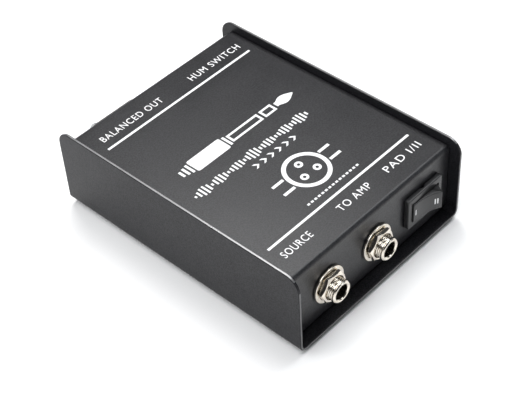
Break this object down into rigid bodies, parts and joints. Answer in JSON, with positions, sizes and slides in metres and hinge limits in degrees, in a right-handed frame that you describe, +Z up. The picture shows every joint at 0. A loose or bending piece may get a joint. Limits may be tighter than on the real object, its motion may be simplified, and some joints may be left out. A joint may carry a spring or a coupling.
{
  "type": "direct injection box",
  "caption": "Small passive direct injection box: bent steel case with side cheeks, jack sockets and rocker switch in front, balanced output socket and ground switch behind.",
  "frame": {"origin": "middle of the box on the surface it stands on", "axes": "+Z up, -Y towards the jack panel (front), +X to the right seen from the front"},
  "size_m": [0.095, 0.1306, 0.04],
  "materials": {
    "black_powder_coat": "fine satin powder coat on bent steel sheet",
    "nickel": "bright nickel plate",
    "zinc_steel": "zinc plated",
    "rubber": "matt moulded rubber",
    "black_plastic": "moulded, lightly textured",
    "switch_plastic": "moulded, satin",
    "contact_bronze": "rolled spring strip",
    "nylon": "natural moulded nylon",
    "spring_steel": "drawn wire",
    "tinned_brass": "tinned",
    "board_laminate": "green solder mask on glass laminate",
    "resistor_body": "dipped coating",
    "lamination_steel": "varnished laminations",
    "winding_tape": "polyester tape over the winding",
    "white_insulation": "extruded insulation",
    "red_insulation": "extruded insulation",
    "green_insulation": "extruded insulation"
  },
  "bodies": {
    "box": {"chassis_base": "black_powder_coat", "top_cover": "black_powder_coat", "base_screw_1": "zinc_steel", "base_screw_2": "zinc_steel", "base_screw_3": "zinc_steel", "base_screw_4": "zinc_steel", "transformer_screw_1": "zinc_steel", "transformer_screw_2": "zinc_steel", "transformer_bracket": "zinc_steel", "xlr_screw_1": "zinc_steel", "xlr_screw_2": "zinc_steel", "foot_1": "rubber", "foot_2": "rubber", "foot_3": "rubber", "foot_4": "rubber", "input_jack_bushing": "nickel", "input_jack_washer": "nickel", "input_jack_nut": "nickel", "input_jack_body": "black_plastic", "input_jack_tip_spring": "contact_bronze", "output_jack_bushing": "nickel", "output_jack_washer": "nickel", "output_jack_nut": "nickel", "output_jack_body": "black_plastic", "output_jack_tip_spring": "contact_bronze", "pad_switch_housing": "switch_plastic", "pad_switch_terminal_1": "tinned_brass", "pad_switch_terminal_2": "tinned_brass", "pad_switch_terminal_3": "tinned_brass", "ground_switch_housing": "switch_plastic", "ground_switch_terminal_1": "tinned_brass", "ground_switch_terminal_2": "tinned_brass", "xlr_shell": "nickel", "xlr_pin_1": "tinned_brass", "xlr_pin_2": "tinned_brass", "xlr_pin_3": "tinned_brass", "xlr_insert": "black_plastic", "circuit_board": "board_laminate", "pad_resistor_1": "resistor_body", "pad_resistor_2": "resistor_body", "transformer_core": "lamination_steel", "transformer_bobbin": "nylon", "transformer_winding": "winding_tape", "pad_lead_1": "white_insulation", "pad_lead_2": "white_insulation", "pad_lead_3": "white_insulation", "ground_lead_1": "white_insulation", "ground_lead_2": "white_insulation", "primary_lead_1": "red_insulation", "primary_lead_2": "red_insulation", "secondary_lead_1": "green_insulation", "secondary_lead_2": "green_insulation"},
    "pad_rocker": {"pad_switch_rocker": "switch_plastic", "pad_switch_plunger": "nylon", "pad_switch_spring": "spring_steel"},
    "pad_contact": {"pad_switch_contact": "contact_bronze"},
    "ground_rocker": {"ground_switch_rocker": "switch_plastic", "ground_switch_plunger": "nylon", "ground_switch_spring": "spring_steel"},
    "ground_contact": {"ground_switch_contact": "contact_bronze"}
  },
  "joints": [
    {"name": "pad_rocker_tilt", "type": "hinge", "parent": "box", "child": "pad_rocker", "pos_m": [0.0288, -0.05771, 0.0204], "axis": [0, 0, 1], "range_deg": [0, 28]},
    {"name": "pad_contact_tilt", "type": "hinge", "parent": "box", "child": "pad_contact", "pos_m": [0.0288, -0.04891, 0.0204], "axis": [0, 0, 1], "range_deg": [-14, 0]},
    {"name": "ground_rocker_tilt", "type": "hinge", "parent": "box", "child": "ground_rocker", "pos_m": [0.0246, 0.05849, 0.0204], "axis": [0, 0, 1], "range_deg": [0, 28]},
    {"name": "ground_contact_tilt", "type": "hinge", "parent": "box", "child": "ground_contact", "pos_m": [0.0246, 0.04969, 0.0204], "axis": [0, 0, 1], "range_deg": [-14, 0]}
  ],
  "couplings": [
    {"joint": "pad_contact_tilt", "follows": "pad_rocker_tilt", "ratio": -0.5},
    {"joint": "ground_contact_tilt", "follows": "ground_rocker_tilt", "ratio": -0.5}
  ]
}
